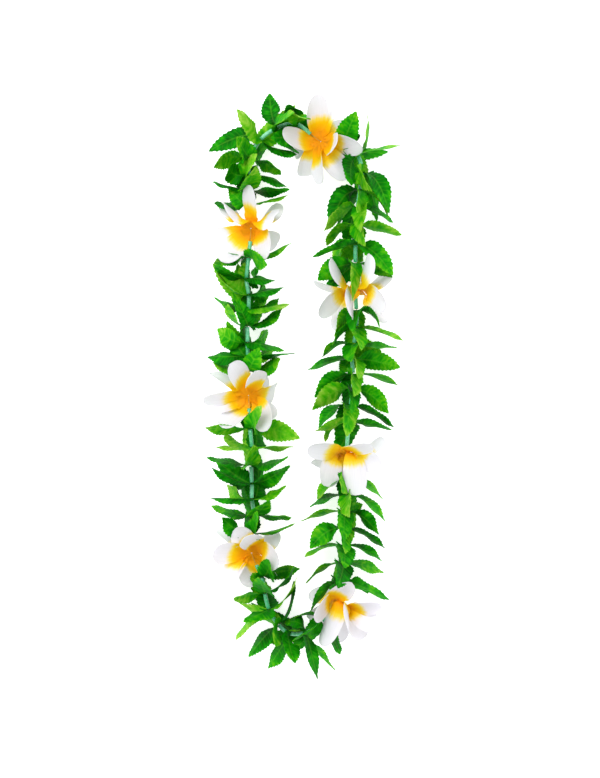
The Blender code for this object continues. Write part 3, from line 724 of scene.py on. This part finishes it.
def leaf_finish():
    """Dyed satin leaf: deep green at the hub, yellower towards the tip and rim, with pale pressed veins; the
    yellow-green tip is partly painted light shining through the cloth.
    """
    leaf = Finish("leaf_satin", Specular_IOR_Level=0.05)
    spot, along, across = leaf.place("cut")
    tone = leaf.place("tint")[1]
    off = leaf.off_middle(across)
    step = leaf.math("MULTIPLY_ADD", along, 1 / TOOTH_PITCH, 0.5 - TEETH_FROM / TOOTH_PITCH - TOOTH_PEAK)
    beside = leaf.math("ABSOLUTE", leaf.math("SUBTRACT", leaf.math("FRACT", step), 0.5))
    inward = leaf.fade(off, *VEIN_ENDS, 1.0, 0.0)
    vein = leaf.math("MULTIPLY", leaf.fade(beside, 0.0, VEIN_WIDTH, 1.0, 0.0), inward)
    vein = leaf.math("MULTIPLY", vein, leaf.fade(along, *VEIN_START))
    rib = leaf.fade(off, *RIB_EDGE, 1.0, 0.0)
    lines = leaf.math("MAXIMUM", leaf.math("MULTIPLY", vein, VEIN_STRENGTH), rib)
    place = leaf.node("TexCoord").outputs["Object"]
    cloud = leaf.noise(place, LEAF_CLOUD_SCALE)
    slanted = leaf.node("CombineXYZ", {0: step, 1: leaf.math("MULTIPLY", off, LEAF_STREAK_FAN),
                                       2: leaf.math("MULTIPLY", tone, LEAF_STREAK_STEP)}).outputs[0]
    streaks = leaf.noise(slanted, LEAF_STREAK_SCALE, 2.0)
    # Yellower towards the tip: partly the dye, partly painted light shining through the cloth from below
    dye_and_glow = leaf.shifted(leaf.math("MULTIPLY_ADD", along, *LEAF_TIP_DYE_AND_GLOW),
                       [(off, LEAF_ACROSS), (tone, LEAF_BY_LEAF), (cloud, LEAF_CLOUDS),
                        (streaks, LEAF_STREAKS)])
    dye_and_glow_colour = leaf.ramp(dye_and_glow, LEAF_DYES_AND_GLOW)
    leaf.feed(Base_Color=leaf.blend(leaf.math("MULTIPLY", lines, LINE_PALENESS), dye_and_glow_colour, VEIN_COLOUR))
    cloth = leaf.relief(leaf.weave(spot, LEAF_SIZE_MM), *THREAD_BUMP)
    leaf.feed(Normal=leaf.relief(lines, *VEIN_BUMP, cloth))
    leaf.feed(Roughness=leaf.fade(cloud, *CLOUD_EDGES, *LEAF_ROUGHNESS))
    return leaf.material


def petal_finish():
    """White satin petal, airbrushed orange at the centre through yellow to white by two thirds."""
    petal = Finish("petal_satin", Roughness=0.6, Specular_IOR_Level=0.15, Subsurface_Weight=0.5,
                   Subsurface_Radius=(1.0, 1.0, 1.0), Subsurface_Scale=LIGHT_DEPTH)
    spot, along, across = petal.place("cut")
    tone = petal.place("tint")[1]
    streaks = petal.noise(petal.stretched(spot, *PETAL_STREAK_STRETCH), 1.0)
    reach = petal.shifted(along, [(streaks, PETAL_STREAKS), (petal.off_middle(across), PETAL_ACROSS),
                                  (tone, PETAL_BY_PETAL)])
    sprayed = petal.ramp(reach, PETAL_SPRAY)
    veins = petal.noise(petal.stretched(spot, *PETAL_VEIN_STRETCH), 1.0)
    faint = petal.fade(veins, *PETAL_VEIN_EDGES, 0.0, PETAL_VEIN_SHADE)
    petal.feed(Base_Color=petal.blend(faint, sprayed, PETAL_VEIN_COLOUR, "MULTIPLY"))
    cloth = petal.relief(petal.weave(spot, PETAL_SIZE_MM), *THREAD_BUMP)
    petal.feed(Normal=petal.relief(veins, *PETAL_VEIN_BUMP, cloth))
    return petal.material


def tube_finish():
    """Soft translucent mint plastic, a little cloudy."""
    tube = Finish("mint_plastic", IOR=1.45, Transmission_Weight=0.2, Specular_IOR_Level=0.5,
                  Coat_Weight=0.3, Coat_Roughness=0.12)
    tone = tube.place("tint")[1]
    cloud = tube.noise(tube.node("TexCoord").outputs["Object"], TUBE_CLOUD_SCALE, 2.0)
    depth = tube.math("ADD", tube.math("MULTIPLY", tone, 0.5), tube.math("MULTIPLY", cloud, 0.5))
    tube.feed(Base_Color=tube.ramp(depth, TUBE_TINTS))
    tube.feed(Roughness=tube.fade(cloud, *CLOUD_EDGES, *TUBE_ROUGHNESS))
    return tube.material


def cord_finish():
    """Thin straw-coloured polyester cord."""
    cord = Finish("polyester_cord", Roughness=0.7, Specular_IOR_Level=0.2)
    fibres = cord.noise(cord.node("TexCoord").outputs["Object"], FIBRE_SCALE)
    cord.feed(Base_Color=cord.ramp(fibres, CORD_TINTS))
    cord.feed(Normal=cord.relief(fibres, *FIBRE_BUMP))
    return cord.material


def floor_finish():
    """White acrylic, faintly lit from below as a light table is."""
    floor = Finish("floor_white", Roughness=0.9, Specular_IOR_Level=0.1, Emission_Strength=FLOOR_GLOW,
                   Base_Color=FLOOR_WHITE, Emission_Color=GLOW_WHITE)
    return floor.material


def stage():
    """A plain white floor, a soft bright room and one wide lamp."""
    sheet = bmesh.new()
    bmesh.ops.create_grid(sheet, x_segments=1, y_segments=1, size=FLOOR_SIZE / 2)
    bmesh.ops.translate(sheet, verts=sheet.verts, vec=(0, 0, -FLOOR_DROP))
    data = bpy.data.meshes.new("floor")
    sheet.to_mesh(data)
    sheet.free()
    add_piece("floor", data, floor_finish())
    world = bpy.data.worlds.new("room")
    world.use_nodes = True
    sky = world.node_tree.nodes["Background"]
    sky.inputs["Color"].default_value = GLOW_WHITE
    sky.inputs["Strength"].default_value = ROOM_LIGHT
    bpy.context.scene.world = world
    lamp = bpy.data.lights.new("key", "AREA")
    lamp.shape = "SQUARE"
    lamp.size = LAMP_SIDE
    lamp.energy = LAMP_POWER
    holder = bpy.data.objects.new("key", lamp)
    holder.location = LAMP_PLACE
    holder.rotation_euler = (-Vector(LAMP_PLACE)).to_track_quat("-Z", "Y").to_euler()
    bpy.context.scene.collection.objects.link(holder)


def camera():
    """The view from far above, so that the lei is seen almost without perspective."""
    lens = bpy.data.cameras.new("camera")
    lens.sensor_fit = "VERTICAL"
    lens.sensor_height = FILM_HEIGHT
    lens.lens = FILM_HEIGHT * CAMERA_DISTANCE / VIEW_HEIGHT
    lens.clip_end = FARTHEST_SEEN
    holder = bpy.data.objects.new("camera", lens)
    holder.location = (*VIEW_CENTRE, CORD_HEIGHT + CAMERA_DISTANCE)
    bpy.context.scene.collection.objects.link(holder)
    bpy.context.scene.camera = holder
    bpy.context.scene.view_settings.view_transform = "Standard"


def lei():
    """Every piece of the lei, placed by its hubs, which are read in the order in which they are strung."""
    hubs = {}
    for number in range(1, ROSETTE_COUNT + 1):
        for node in (f"leaf_rosette_{number:02d}", BLOOM_AFTER.get(number)):
            if node:
                hubs[node] = hub_of(node)
    rng = random.Random(SEED)
    thread = Thread(hubs)
    cord = cord_finish()
    twisted_cord(thread, cord)
    cord_knot(thread, cord)
    spacer_tubes(thread, tube_finish(), rng)
    petal = petal_finish()
    for number in range(1, len(BLOOM_AFTER) + 1):
        bloom(number, petal, rng)
    leaf = leaf_finish()
    for number in range(1, ROSETTE_COUNT + 1):
        rosette(number, hubs, leaf, rng)


camera()
stage()
lei()
